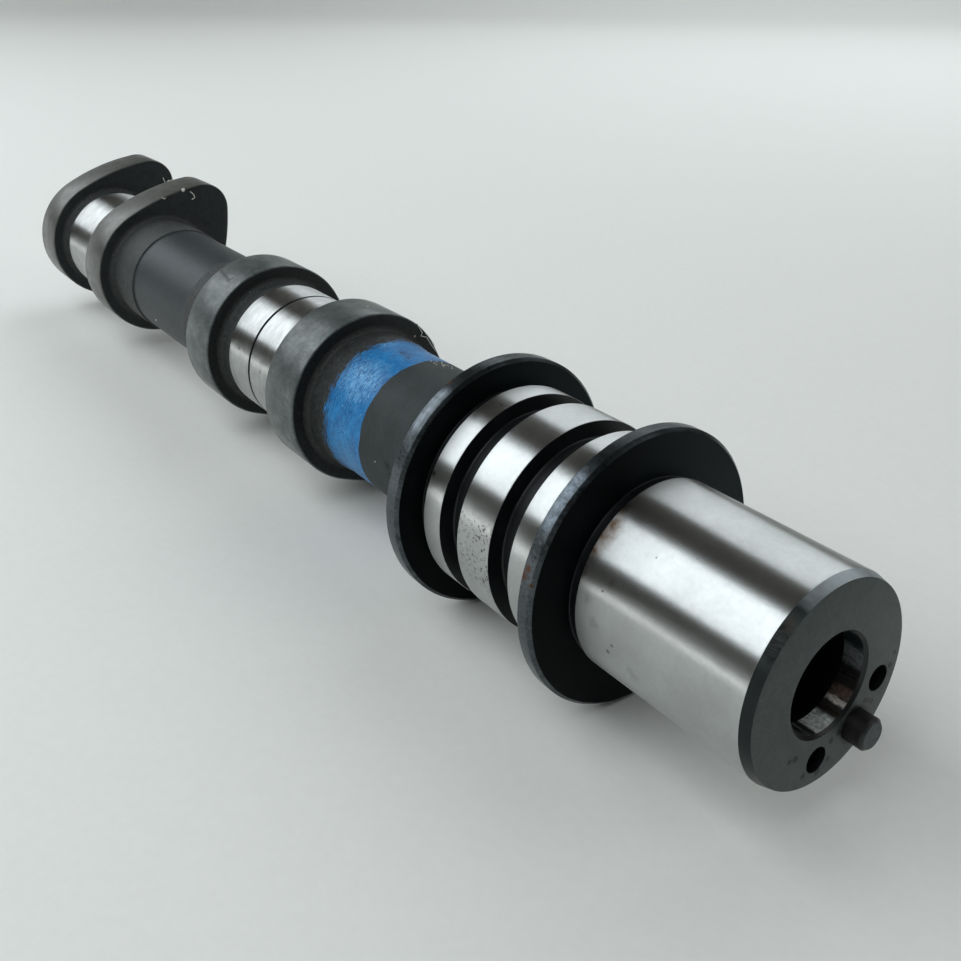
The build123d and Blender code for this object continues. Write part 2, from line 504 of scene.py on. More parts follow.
def specks(tree, where, spacing, size, share, strength=1.0):
    """Scattered round specks up to a strength: one to a cell of this spacing, in a share of the cells."""
    cells = {"Vector": where, "Scale": 1 / spacing, "Randomness": 1.0}
    away = add(tree, "ShaderNodeTexVoronoi", cells)
    pick = add(tree, "ShaderNodeTexVoronoi", cells, 1)
    limits = {"From Min": size / spacing, "From Max": 0.4 * size / spacing, "To Max": strength}
    near = add(tree, "ShaderNodeMapRange", {"Value": away, **limits})
    kept = add(tree, "ShaderNodeMath", {"operation": "LESS_THAN", 0: pick, 1: share})
    return add(tree, "ShaderNodeMath", {"operation": "MULTIPLY", 0: near, 1: kept})


def marks(tree, where, places, ragged=0.6, grain=0.8, core=0.45, strength=1.0, drawn=1.0):
    """How far inside any mark a point lies. A place is station, radius, clock angle and half width."""
    # Marks may be drawn out along the shaft, and their edges wander in patches of a grain.
    squeeze = (1 / drawn, 1, 1)
    seen = add(tree, "ShaderNodeVectorMath", {"operation": "MULTIPLY", 0: where, 1: squeeze})
    shake = add(tree, "ShaderNodeTexNoise", {"Vector": where, "Scale": 1 / grain, "Detail": 3.0}, 1)
    shift = add(tree, "ShaderNodeVectorMath", {"operation": "SUBTRACT", 0: shake, 1: (0.5, 0.5, 0.5)})
    inside = None
    for station, radius, angle, size in places:
        centre = (x_at(station) / drawn, *at_clock(radius, angle))
        most = 2 * ragged * size
        push = add(tree, "ShaderNodeVectorMath", {"operation": "SCALE", 0: shift, "Scale": most})
        moved = add(tree, "ShaderNodeVectorMath", {"operation": "ADD", 0: seen, 1: push})
        away = add(tree, "ShaderNodeVectorMath", {"operation": "DISTANCE", 0: moved, 1: centre}, 1)
        limits = {"From Min": size, "From Max": core * size, "To Max": strength}
        here = add(tree, "ShaderNodeMapRange", {"Value": away, **limits})
        if inside is None:
            inside = here
        else:
            inside = add(tree, "ShaderNodeMath", {"operation": "MAXIMUM", 0: inside, 1: here})
    return inside


def pitted_patch(tree, where):
    """Rust pits over the part of the middle land that faces left, most of them near its front edge."""
    along, side, height = [add(tree, "ShaderNodeSeparateXYZ", {0: where}, axis) for axis in range(3)]
    pit_size = 0.55
    worms = add(tree, "ShaderNodeTexNoise", {"Vector": where, "Scale": 1 / pit_size, "Detail": 2.0})
    cores = {"From Min": 0.56, "From Max": 0.62, "To Max": 0.85}
    pits = add(tree, "ShaderNodeMapRange", {"Value": worms, **cores})
    front, rear = middle_land
    for value, outer, inner, least in (
        (along, x_at(rear - 1.0), x_at(front + 1.1), 0.45), (along, x_at(rear), x_at(rear - 0.1), 0.0),
        (along, x_at(front), x_at(front + 0.1), 0.0), (height, 6.2, 4.6, 0.0), (height, -7.0, -4.5, 0.0),
        (side, 0.1, -0.1, 0.0),
    ):
        limits = {"From Min": outer, "From Max": inner, "To Min": least}
        reach = add(tree, "ShaderNodeMapRange", {"Value": value, **limits})
        pits = add(tree, "ShaderNodeMath", {"operation": "MULTIPLY", 0: pits, 1: reach})
    return pits


def ground_iron():
    """Chill-hardened iron, ground round the shaft: bright, with highlights drawn out by grinding lines."""
    material, tree, where = open_finish("ground_iron")
    # Grit leaves lines about 0.01 mm wide. They are drawn 0.1 mm wide so that they show.
    lines = mottling(tree, where, 0.1, 0.3, (1, 60, 60))
    ripple = mottling(tree, where, 0.35, 0.25, high=1.5)
    height = add(tree, "ShaderNodeMath", {"operation": "ADD", 0: lines, 1: ripple})
    # The flange kept the wheel off the last millimetres of the nose, and they have rusted. The brown there
    # is partly a painted reflection of the flange.
    nose, land = nose_radius, land_radius
    rusty = [(32.0, nose, -48, 3.0), (31.2, nose, -40, 2.4), (31.8, nose, -57, 2.0),
             (32.2, nose, -68, 1.4), (32.0, nose, -30, 1.6)]
    smudged = [(25.2, nose, -103, 0.5), (24.2, nose, -97, 0.35), (22.0, nose, -43, 0.2),
               (27.5, nose, -72, 0.3), (63.4, land, -17, 0.3), (66.0, land, -66, 0.7)]
    faint = [(29.8, nose, -80, 1.0), (28.0, nose, -92, 1.3), (20.5, nose, -108, 1.6),
             (26.5, nose, -66, 0.9)]
    # The two journals behind carry thin old stains that run round them.
    along = add(tree, "ShaderNodeSeparateXYZ", {0: where})
    rearward = {"From Min": x_at(110), "From Max": x_at(125)}
    rearward = add(tree, "ShaderNodeMapRange", {"Value": along, **rearward})
    runs = mottling(tree, where, 1.3, 0.12, (1, 2.2, 2.2), high=0.25)
    runs = add(tree, "ShaderNodeMath", {"operation": "MULTIPLY", 0: runs, 1: rearward})
    blots = specks(tree, where, 5.5, 0.7, 0.4, 0.55)
    blots = add(tree, "ShaderNodeMath", {"operation": "MULTIPLY", 0: blots, 1: rearward})
    colour = layered(tree, "#c9cccc", [
        (mottling(tree, where, 6, 0.2), "#bcbebd"),
        (mottling(tree, where, 0.7, 0.25, high=0.25), "#a6a6a2"),
        (marks(tree, where, rusty, 0.5, 1.3, 0.0), "#664a30"),
        (marks(tree, where, smudged, 0.6, 0.8, 0.3, 0.8), "#57524b"),
        (marks(tree, where, faint, 0.9, 0.7, 0.0, 0.4), "#6b6760"),
        (pitted_patch(tree, where), "#4a443c"),
        (runs, "#7a736c"),
        (blots, "#6a645c"),
        (specks(tree, where, 3.2, 0.15, 0.4, 0.4), "#65625e"),
    ])
    around_axis = add(tree, "ShaderNodeTangent", {"direction_type": "RADIAL", "axis": "X"})
    close_finish(tree, height, 0.0012, base_color=colour, metallic=1.0,
                 roughness=mottling(tree, where, 0.7, 0.25, low=0.34, high=0.38), anisotropic=1.0,
                 anisotropic_rotation=0.25, tangent=around_axis)
    return material


def dull_turned_colour(tree, where):
    """Colour of the turned and phosphated body behind the thrust journal: dull grey, tiny pits, dust."""
    pitted = [(83.5, turned_radius, -98, 1.6), (85.0, turned_radius, -89, 1.1)]
    return layered(tree, "#2a3031", [
        (mottling(tree, where, 4, 0.12), "#33393a"),
        (mottling(tree, where, 0.5, 0.25, high=0.5), "#202525"),
        (mottling(tree, where, 0.3, 0.14, (1, 8, 8), high=0.3), "#3b3e3c"),
        (marks(tree, where, pitted, 1.2, 0.4, 0.5, 0.85), "#121516"),
        (specks(tree, where, 1.4, 0.17, 0.6, 0.9), "#15191a"),
        (specks(tree, where, 4.0, 0.13, 0.35, 0.7), "#9a9a90"),
    ])


def dull_turned_iron():
    """Turned iron under a zinc phosphate coat: dull grey, fine-grained, with tiny dark pits."""
    material, tree, where = open_finish("dull_turned_iron")
    colour = dull_turned_colour(tree, where)
    close_finish(tree, mottling(tree, where, 0.35, 0.25), 0.012, base_color=colour,
                 roughness=0.6, specular_ior_level=0.2)
    return material


def cast_skin_colour(tree, where):
    """Colour of the cast parts: black and brown patches, pebble by pebble, with painted shade in the fillets
    at the lobes' roots.
    """
    flat = add(tree, "ShaderNodeVectorMath", {"operation": "MULTIPLY", 0: where, 1: (0, 1, 1)})
    radius = add(tree, "ShaderNodeVectorMath", {"operation": "LENGTH", 0: flat}, 1)
    # Darker in the fillets at the lobes' roots: painted shade.
    root = {"From Min": cast_radius + 0.05, "From Max": cast_radius + fillet_radius, "To Max": 0.85}
    root = add(tree, "ShaderNodeMapRange", {"Value": radius, **root})
    return layered(tree, "#1e2223", [
        (mottling(tree, where, 3.5, 0.13), "#373d3e"),
        (mottling(tree, where, 2.0, 0.1, high=0.6), "#2b2520"),
        (mottling(tree, where, 2.6, 0.1, (1, 3, 3), high=0.5), "#26302b"),
        (mottling(tree, where, 0.6, 0.18, (1, 1.5, 1.5), high=0.35), "#4f5352"),
        (mottling(tree, where, 0.8, 0.2, high=0.65), "#101314"),
        (root, "#131115"),
        (mottling(tree, where, 0.9, 0.08, high=0.5), "#2b2829"),
        (specks(tree, where, 0.9, 0.16, 0.35, 0.6), "#5f666a"),
        (specks(tree, where, 1.8, 0.17, 0.4, 0.8), "#8f9089"),
    ])


def cast_iron_skin():
    """As-cast iron under phosphate and oil: nearly black, pebbled by the mould's sand, stained brown."""
    material, tree, where = open_finish("cast_iron_skin")
    colour = cast_skin_colour(tree, where)
    close_finish(tree, mottling(tree, where, 0.8, 0.22), 0.13, base_color=colour,
                 roughness=mottling(tree, where, 0.8, 0.22, low=0.66, high=0.5), specular_ior_level=0.4)
    return material


def painted_turned_iron():
    """The same dull iron under a brushed band of blue marking paint, which ends on the cast skin behind."""
    material, tree, where = open_finish("painted_turned_iron")
    along = add(tree, "ShaderNodeSeparateXYZ", {0: where})
    edge = {"From Min": x_at(cast_start - 0.2), "From Max": x_at(cast_start + 0.3)}
    cast = add(tree, "ShaderNodeMapRange", {"Value": along, **edge})
    turned = dull_turned_colour(tree, where)
    skin = cast_skin_colour(tree, where)
    bare = layered(tree, turned, [(cast, skin)])
    # The brush left an edge that wanders by half a millimetre in front, and bristle streaks at the rear.
    bristles = mottling(tree, where, 0.24, 0.2, (1, 8, 8))
    wander = mottling(tree, where, 3.5, 0.3, low=-0.3, high=0.3)
    front = add(tree, "ShaderNodeMath", {"operation": "ADD", 0: along, 1: wander})
    edge = {"From Min": x_at(paint_front - 0.1), "From Max": x_at(paint_front + 0.1)}
    front = add(tree, "ShaderNodeMapRange", {"Value": front, **edge})
    rear = add(tree, "ShaderNodeMath", {"operation": "MULTIPLY_ADD", 0: bristles, 1: 2.6, 2: along})
    edge = {"From Min": x_at(paint_rear - 0.9), "From Max": x_at(paint_rear - 1.5)}
    rear = add(tree, "ShaderNodeMapRange", {"Value": rear, **edge})
    cover = add(tree, "ShaderNodeMath", {"operation": "MULTIPLY", 0: front, 1: rear})
    # Bristle strokes are 0.1 mm wide. They are drawn 0.25 mm wide so that they show.
    # The light strokes crowd round clock -42. There they are a painted highlight of the lamp on the paint.
    painted_highlight_band = marks(tree, where, [(101, turned_radius, -42, 6.5)], 0.3, 3.0, 0.2)
    painted_highlight_band = add(tree, "ShaderNodeMapRange", {"Value": painted_highlight_band, "To Min": 0.2})
    strokes_and_highlight = mottling(tree, where, 0.25, 0.09, (1, 5, 5), high=0.75)
    strokes_and_highlight = add(tree, "ShaderNodeMath", {"operation": "MULTIPLY", 0: strokes_and_highlight, 1: painted_highlight_band})
    # A light blue patch round clock -106: painted reflection of the floor.
    lighter_zone = marks(tree, where, [(101, turned_radius, -106, 7.0)], 0.3, 3.0, 0.0, 0.55)
    blots = [(99.6, turned_radius, 0, 1.6), (98.4, turned_radius, -3, 1.2), (101.2, turned_radius, -1, 1.2)]
    blots = marks(tree, where, blots, 0.9, 0.5, 0.5)
    broken = mottling(tree, where, 0.22, 0.1, (1, 2.5, 2.5))
    blots = add(tree, "ShaderNodeMath", {"operation": "MULTIPLY", 0: blots, 1: broken})
    blue = layered(tree, "#005590", [
        (mottling(tree, where, 2.2, 0.13, (1, 2, 2)), "#0074b2"),
        (lighter_zone, "#468fc0"),
        (strokes_and_highlight, "#84c4ec"),
        (mottling(tree, where, 0.3, 0.12, high=0.5), "#06568a"),
        (specks(tree, where, 0.8, 0.2, 0.6, 0.9), "#05294a"),
        (specks(tree, where, 1.1, 0.17, 0.4, 0.7), "#9fd2ee"),
        (blots, "#061624"),
    ])
    colour = layered(tree, bare, [(cover, blue)])
    rough = add(tree, "ShaderNodeMapRange", {"Value": cover, "To Min": 0.6, "To Max": 0.35})
    grain = mottling(tree, where, 0.3, 0.22)
    brushed = add(tree, "ShaderNodeMath", {"operation": "ADD", 0: bristles, 1: grain})
    close_finish(tree, brushed, 0.025, base_color=colour, roughness=rough, specular_ior_level=0.2)
    return material


def satin_turned_iron():
    """Turned iron, finely phosphated and oiled: even slate grey with a satin sheen."""
    material, tree, where = open_finish("satin_turned_iron")
    colour = layered(tree, "#23292c", [
        (mottling(tree, where, 6, 0.25), "#2b3235"),
        (mottling(tree, where, 0.9, 0.15, (1, 3, 3), high=0.3), "#24292c"),
        (specks(tree, where, 5.0, 0.2, 0.3, 0.7), "#9a9d98"),
    ])
    lines = mottling(tree, where, 0.18, 0.25, (1, 40, 40))
    close_finish(tree, lines, 0.002, base_color=colour, metallic=0.35,
                 roughness=mottling(tree, where, 0.9, 0.25, low=0.44, high=0.52))
    return material


def cam_track_iron():
    """Ground cam track under manganese phosphate: grey-green satin, hazy patches, fine scratches across."""
    material, tree, where = open_finish("cam_track_iron")
    # Towards the rear of the shaft the coat turns warmer.
    along = add(tree, "ShaderNodeSeparateXYZ", {0: where})
    rearward = {"From Min": x_at(180), "From Max": x_at(230), "To Max": 0.55}
    warm = add(tree, "ShaderNodeMapRange", {"Value": along, **rearward})
    # One scratch crosses the second lobe's track, from its rear edge forward, and turns back on itself.
    scratch = [(165.7 - step * 0.65, base_radius, -29 - step * 0.4, 0.6) for step in range(11)]
    scratch += [(159.1 + step * 0.25, base_radius, -30 - step * 0.9, 0.5) for step in range(5)]
    colour = layered(tree, "#373d3e", [
        (mottling(tree, where, 3.2, 0.12), "#5c6262"),
        (mottling(tree, where, 0.5, 0.2, (6, 1, 1), high=0.5), "#2f3536"),
        (mottling(tree, where, 0.35, 0.22, high=0.35), "#777b79"),
        (mottling(tree, where, 1.1, 0.1, high=0.4), "#363c3c"),
        (warm, "#57534d"),
        (marks(tree, where, scratch, 0.6, 0.4, strength=0.95), "#121413"),
        (specks(tree, where, 6.0, 0.2, 0.3, 0.8), "#b4b4aa"),
    ])
    close_finish(tree, mottling(tree, where, 0.35, 0.22), 0.008, base_color=colour, metallic=0.45,
                 roughness=mottling(tree, where, 3.2, 0.14, low=0.4, high=0.31), specular_ior_level=0.6)
    return material


def black_lobe_side():
    """Lobe sides, cast, blasted and phosphated black: oily and dark, with painted light where they face up
    and right.
    """
    material, tree, where = open_finish("black_lobe_side")
    along, side, height = [add(tree, "ShaderNodeSeparateXYZ", {0: where}, axis) for axis in range(3)]
    upward = add(tree, "ShaderNodeMath", {"operation": "ADD", 0: side, 1: height})
    # Lighter where the faces look up and towards +Y: painted light.
    facing_up = {"From Min": -16.0, "From Max": 34.0, "To Max": 0.9}
    painted_top_light = add(tree, "ShaderNodeMapRange", {"Value": upward, **facing_up})
    rearward = {"From Min": x_at(170), "From Max": x_at(225), "To Max": 0.9}
    lighter_zone = add(tree, "ShaderNodeMapRange", {"Value": along, **rearward})
    colour = layered(tree, "#090b0c", [
        (lighter_zone, "#25292a"),
        (painted_top_light, "#24292b"),
        (mottling(tree, where, 2.2, 0.12, high=0.5), "#0f1213"),
        (mottling(tree, where, 0.7, 0.15, high=0.4), "#2a2f30"),
        (specks(tree, where, 2.6, 0.15, 0.4, 0.6), "#5f625e"),
    ])
    close_finish(tree, mottling(tree, where, 0.6, 0.22), 0.03, base_color=colour,
                 roughness=mottling(tree, where, 0.9, 0.2, low=0.58, high=0.48), specular_ior_level=0.35)
    return material


def black_flange_face():
    """Turned flange side under black phosphate and oil: smooth, nearly black, with painted light on the
    right.
    """
    material, tree, where = open_finish("black_flange_face")
    side = add(tree, "ShaderNodeSeparateXYZ", {0: where}, 1)
    # Lighter towards +Y: painted light falling on the right of the face.
    lighter_zone = add(tree, "ShaderNodeMapRange", {"Value": side, "From Min": -7.0, "From Max": 10.0})
    colour = layered(tree, "#05080a", [
        (mottling(tree, where, 5, 0.25), "#080c0e"),
        (lighter_zone, "#1d2528"),
        (specks(tree, where, 3.0, 0.13, 0.3, 0.6), "#3a3a38"),
    ])
    close_finish(tree, mottling(tree, where, 0.35, 0.25), 0.004, base_color=colour,
                 roughness=0.45, specular_ior_level=0.06)
    return material


def worn_flange_rim():
    """Flange rim handled and knocked: dark coat worn through to bluish bright metal, with rust in spots and
    painted highlights.
    """
    material, tree, where = open_finish("worn_flange_rim")
    left = range(-124, -54, 9)
    handled = [(station, flange_radius, angle, 3.4) for station in (35.2, 70.2) for angle in left]
    # Lighter patches at clocks -34 to -54 on both rims: painted highlight, mottled like worn metal on the
    # front rim.
    mottled = [(35.4, flange_radius, angle, 2.2) for angle in (-36, -42, -48, -54)]
    painted_rim_highlight = [(70.3, flange_radius, angle, 2.2) for angle in (-34, -38, -42, -46, -50)]
    rusty = [(36.5, flange_radius, -76, 1.2), (35.5, flange_radius, -73, 0.7),
             (33.9, flange_radius, -45.5, 0.4), (34.2, flange_radius, -78, 0.5),
             (71.4, flange_radius, -27, 0.8)]
    broken = mottling(tree, where, 0.5, 0.2, low=0.3)
    handled = marks(tree, where, handled, 0.4, 1.6, strength=0.8)
    handled = add(tree, "ShaderNodeMath", {"operation": "MULTIPLY", 0: handled, 1: broken})
    mottled = marks(tree, where, mottled, 0.5, 1.2, 0.1)
    mottled = add(tree, "ShaderNodeMath", {"operation": "MULTIPLY", 0: mottled, 1: broken})
    brushed = mottling(tree, where, 0.4, 0.15, (1, 6, 6), low=0.4)
    painted_rim_highlight = marks(tree, where, painted_rim_highlight, 0.12, 1.5, 0.1)
    painted_rim_highlight = add(tree, "ShaderNodeMath", {"operation": "MULTIPLY", 0: painted_rim_highlight, 1: brushed})
    colour = layered(tree, "#24282a", [
        (mottling(tree, where, 2.6, 0.14), "#33383a"),
        (handled, "#63696d"),
        (mottled, "#747d86"),
        (painted_rim_highlight, "#70777d"),
        (marks(tree, where, rusty, 0.7, strength=0.9), "#503527"),
        (specks(tree, where, 0.9, 0.15, 0.5, 0.7), "#1c1e20"),
    ])
    close_finish(tree, mottling(tree, where, 0.5, 0.2), 0.01, base_color=colour, metallic=0.95,
                 roughness=mottling(tree, where, 0.5, 0.2, low=0.26, high=0.4))
    return material


def oily_bore_wall():
    """Reamed bore wall, wet with old oil: grey metal with teal and brown stains and near-white painted
    highlights.
    """
    material, tree, where = open_finish("oily_bore_wall")
    # The near-white strips at clocks 139 and 164 to 180 are painted highlights.
    streaks = [((52, 60, 68), 1.1, "#0b1a1c"), ((104, 112, 119), 1.0, "#140d0b"),
               ((126, 132), 0.7, "#6b574d"), ((139,), 0.6, "#fff6f0"), ((147, 152), 0.7, "#2a241d"),
               ((164, 172, 180), 1.1, "#eef6f2"), ((190,), 0.7, "#0a1719"), ((204, 212), 1.0, "#161c1d")]
    coats = [(mottling(tree, where, 0.8, 0.15, (5, 1, 1)), "#7a7c7e")]
    for angles, size, stain in streaks:
        places = [(pilot_depth / 2, pilot_radius, angle, size) for angle in angles]
        coats.append((marks(tree, where, places, 0.35, 0.9, strength=0.95, drawn=8), stain))
    coats.append((mottling(tree, where, 0.5, 0.1, high=0.5), "#2b2a28"))
    rings = mottling(tree, where, 0.3, 0.3, (1, 8, 8))
    colour = layered(tree, "#5d6466", coats)
    close_finish(tree, rings, 0.008, base_color=colour, metallic=0.15,
                 roughness=mottling(tree, where, 0.8, 0.15, (5, 1, 1), 0.22, 0.4))
    return material


def black_oil_and_shade():
    """Groove floors, reliefs and holes: turned iron black with oil and painted near-black as their shade,
    with faint turning rings.
    """
    material, tree, where = open_finish("black_oil_and_shade")
    # The near-black is partly oil and partly painted shade in the recesses.
    colour = layered(tree, "#0a0b0d", [(mottling(tree, where, 3, 0.2), "#14161a")])
    close_finish(tree, mottling(tree, where, 0.2, 0.3, (1, 30, 30)), 0.003, base_color=colour,
                 roughness=mottling(tree, where, 0.2, 0.3, (1, 30, 30), 0.3, 0.42), specular_ior_level=0.4)
    return material


def phosphated_nose_face():
    """Faced and phosphated nose: flat grey-green with a fine crystalline grain, a few dark dents and a
    painted shadow at the dowel.
    """
    material, tree, where = open_finish("phosphated_nose_face")
    dents = [(0, *dent) for dent in (
        (13.85, 99.6, 0.5), (10.74, 124.6, 0.5), (12.62, 123.6, 0.5), (13.51, -166.4, 0.55),
        (10.77, -149.4, 0.6), (10.07, 167.6, 0.6), (11.6, 124.0, 0.45), (13.9, 180, 0.7),
        (14.3, 92, 0.45), (9.9, 158, 0.55), (12.9, 171, 0.5), (11.3, -144, 0.45),
    )]
    # A dark ring round the dowel's root: painted shadow.
    seat = [(0, hole_circle, dowel_clock, dowel_radius + 0.8)]
    colour = layered(tree, "#363d3d", [
        (mottling(tree, where, 3.5, 0.2), "#424949"),
        (mottling(tree, where, 0.3, 0.2, high=0.45), "#565c5a"),
        (mottling(tree, where, 0.9, 0.12, high=0.35), "#2f3636"),
        (marks(tree, where, seat, 0.05, 1.0, 0.82, 0.9), "#0c0e0e"),
        (marks(tree, where, dents, 0.35, 0.4, 0.75), "#050606"),
        (specks(tree, where, 1.8, 0.12, 0.35, 0.6), "#858a85"),
    ])
    close_finish(tree, mottling(tree, where, 0.3, 0.25), 0.008, base_color=colour, metallic=0.15,
                 roughness=0.5)
    return material


def nose_lead_iron():
    """The nose's lead: bright metal with a painted dark reflection on its left and lower side, clogged with
    black grime where the sprocket bore rubbed.
    """
    material, tree, where = open_finish("nose_lead_iron")
    streaks = mottling(tree, where, 0.3, 0.12, (4, 1, 1), low=0.4)
    middle = (nose_lead_length / 2, nose_radius - nose_lead / 2)
    # Dark on the left and lower side and at clocks 58 to 78: a painted dark reflection, not grime.
    painted_dark_reflection = [(*middle, angle, 3.4) for angle in (*range(-160, -28, 9), 58, 68, 78)]
    clogged = marks(tree, where, [(*middle, angle, 2.1) for angle in (-43, -47, -51)], 0.4, 2.0)
    clogged = add(tree, "ShaderNodeMath", {"operation": "MULTIPLY", 0: clogged, 1: streaks})
    colour = layered(tree, "#73797b", [
        (mottling(tree, where, 2.2, 0.2), "#868d8f"),
        (marks(tree, where, painted_dark_reflection, 0.2, 4.0, strength=0.95), "#1a1e1e"),
        (marks(tree, where, [(*middle, -38, 1.6)], 0.5, 1.0, 0.1, 0.7), "#2b2519"),
        (clogged, "#060706"),
    ])
    close_finish(tree, streaks, 0.005, base_color=colour, metallic=0.8,
                 roughness=mottling(tree, where, 2.2, 0.2, low=0.36, high=0.46))
    return material


def dark_dowel_steel():
    """Through-hardened dowel steel, blackened: dark brownish grey, with painted shadow at its root, paler on
    its ground end.
    """
    material, tree, where = open_finish("dark_dowel_steel")
    along = add(tree, "ShaderNodeSeparateXYZ", {0: where})
    # Darker where the dowel meets the nose face: painted shadow.
    root = add(tree, "ShaderNodeMapRange", {"Value": along, "From Min": x_at(-1.2), "From Max": x_at(0.0)})
    end = add(tree, "ShaderNodeMapRange", {"Value": along, "From Min": x_at(-2.7), "From Max": x_at(-2.95)})
    colour = layered(tree, "#1f1d1d", [
        (mottling(tree, where, 1.2, 0.2), "#2b2827"),
        (root, "#080808"),
        (end, "#43474a"),
        (mottling(tree, where, 0.6, 0.15, high=0.4), "#191a1a"),
    ])
    close_finish(tree, mottling(tree, where, 0.3, 0.25), 0.01, base_color=colour, metallic=0.4,
                 roughness=mottling(tree, where, 1.2, 0.2, low=0.4, high=0.5))
    return material


def pale_packing_dust():
    """Lint and crumbs of packing foam: off-white and matt."""
    material, tree, where = open_finish("pale_packing_dust")
    colour = layered(tree, "#c4c4ba", [(mottling(tree, where, 0.4, 0.25), "#ecece4")])
    close_finish(tree, base_color=colour, roughness=0.9)
    return material


def finish_shaft(shaft):
    """Give each face of the shaft its finish, smooth the turned surfaces and keep the true edges sharp."""
    makers = (ground_iron, dull_turned_iron, painted_turned_iron, satin_turned_iron, cam_track_iron,
              cast_iron_skin, black_lobe_side, black_flange_face, worn_flange_rim, oily_bore_wall,
              black_oil_and_shade, phosphated_nose_face, nose_lead_iron)
    names = [maker.__name__ for maker in makers]
    shaft.data.materials.clear()
    for maker in makers:
        shaft.data.materials.append(maker())
    for face in shaft.data.polygons:
        station = nose_face_x - face.center.x / MM
        corners = [shaft.data.vertices[index].co for index in face.vertices]
        radius = max(sqrt(corner.y ** 2 + corner.z ** 2) for corner in corners) / MM
        face.material_index = names.index(finish_at(station, radius, abs(face.normal.x)))
        face.use_smooth = True
    shaft.data.set_sharp_from_angle(angle=radians(40))


def make_shaft():
    """The iron shaft: turned and cast outside, drilled nose, and a finish on every face."""
    shaft = skin_of_rows("camshaft_iron", shaft_rows())
    drill_nose(shaft)
    finish_shaft(shaft)
    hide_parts("camshaft")
    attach(shaft, "root")


def make_dowel():
    """The dowel pin, with a chamfer on each end."""
    outer, inner = -dowel_stand_out, dowel_length - dowel_stand_out
    end_radius = dowel_radius - dowel_chamfer
    outline = [(outer, end_radius), (outer + dowel_chamfer, dowel_radius),
               (inner - dowel_chamfer, dowel_radius), (inner, end_radius)]
    pin = turned_piece("dowel_steel", outline, 64)
    pin.data.transform(Matrix.Translation(place(0, hole_circle, dowel_clock) - place(0, 0, 0)))
    for face in pin.data.polygons:
        face.use_smooth = True
    pin.data.set_sharp_from_angle(angle=radians(30))
    pin.data.materials.append(dark_dowel_steel())
    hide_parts("dowel_pin")
    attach(pin, "root")


def lint_fibre(body, points, thickness):
    """A fine thread through (station, radius, clock angle) points, five-sided."""
    sides = 5
    path = [place(*point) for point in points]
    rings = []
    for index, spot in enumerate(path):
        ahead = (path[min(index + 1, len(path) - 1)] - path[max(index - 1, 0)]).normalized()
        side = ahead.cross(Vector((1, 0, 0))).normalized()
        up = ahead.cross(side)
        ring = []
        for corner in range(sides):
            turn = 2 * pi * corner / sides
            ring.append(body.verts.new(spot + (side * cos(turn) + up * sin(turn)) * thickness * MM))
        rings.append(ring)
    join_rings(body, rings)


def dust_chip(body, spot, size):
    """A crumb of packing foam, lumpy and a little flattened."""
    flattened, lumpiness, lumps_per_mm = 0.5, 0.5, 1.7
    centre = Matrix.Translation(spot)
    made = bmesh.ops.create_icosphere(body, subdivisions=2, radius=size * MM, matrix=centre)
    for corner in made["verts"]:
        out = corner.co - spot
        lump = 1 + lumpiness * noise.noise(corner.co / MM * lumps_per_mm)
        corner.co = spot + Vector((out.x * flattened, out.y, out.z)) * lump


def make_dust():
    """Lint and foam crumbs that lie on the lobes' front faces and on the body behind the thrust journal."""
    dust = bmesh.new()
    front, third, rear = lobe_fronts[0] - 0.08, lobe_fronts[2] - 0.12, lobe_fronts[3] - 0.12
    # Each strand lies on one face, through (clock angle, radius) points.
    curl = [(39.2, 18.55), (43.0, 18.15), (47.4, 17.85), (48.4, 17.15), (53.0, 17.95), (55.8, 17.85),
            (61.8, 17.9), (66.8, 18.3)]
    wisp = [(50.0 + 3.1 * step, 18.3 + 0.05 * step) for step in range(5)]
    hook = [(24.7, 23.6), (26.7, 23.4), (28.7, 22.95), (29.6, 22.5), (29.1, 22.1), (28.1, 21.7)]
    kink = [(3.4, 20.85), (5.1, 20.35), (6.4, 20.6)]
    fork = [(46.4, 25.0), (48.0, 24.6), (50.8, 24.3), (52.7, 24.7), (52.7, 25.6), (52.7, 26.6)]
    for station, strand, thickness in (
        (front, curl, 0.11), (front, wisp, 0.06), (third, hook, 0.14), (third, kink, 0.13),
        (rear, fork, 0.15),
    ):
        lint_fibre(dust, [(station, radius, angle) for angle, radius in strand], thickness)
    for station, radius, angle, size in (
        (front, 16.2, 44.0, 0.2), (front, 18.3, 66.8, 0.22), (third, 23.55, 19.3, 0.55),
        (rear, 25.3, 51.8, 0.65), (rear, 26.2, 52.6, 0.4), (lobe_fronts[0] + 5.2, base_radius, 9.0, 0.25),
        (199.1, turned_radius, -111.0, 0.25), (89.2, turned_radius, -93.0, 0.16),
        (81.5, turned_radius, -96.0, 0.12), (113.0, 15.4, 62.0, 0.3),
    ):
        dust_chip(dust, place(station, radius, angle), size)
    for step in range(16):
        drift = noise.noise((step * 3.7, 1.3, 0))
        spread = noise.noise((step * 5.1, 7.9, 0))
        spot = place(93.3 - 0.11 * step + 3.0 * drift, turned_radius, 8.0 + 0.7 * step + 6 * spread)
        dust_chip(dust, spot, 0.12 + 0.1 * abs(drift))
    piece = as_object("dust_and_lint", dust)
    piece.data.materials.append(pale_packing_dust())
    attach(piece, "root")


# The camera in millimetres and degrees.
camera_place = (121.97, -114.2, 92.51)
camera_heading, camera_pitch, camera_roll = 145.04, -19.18, 0.80


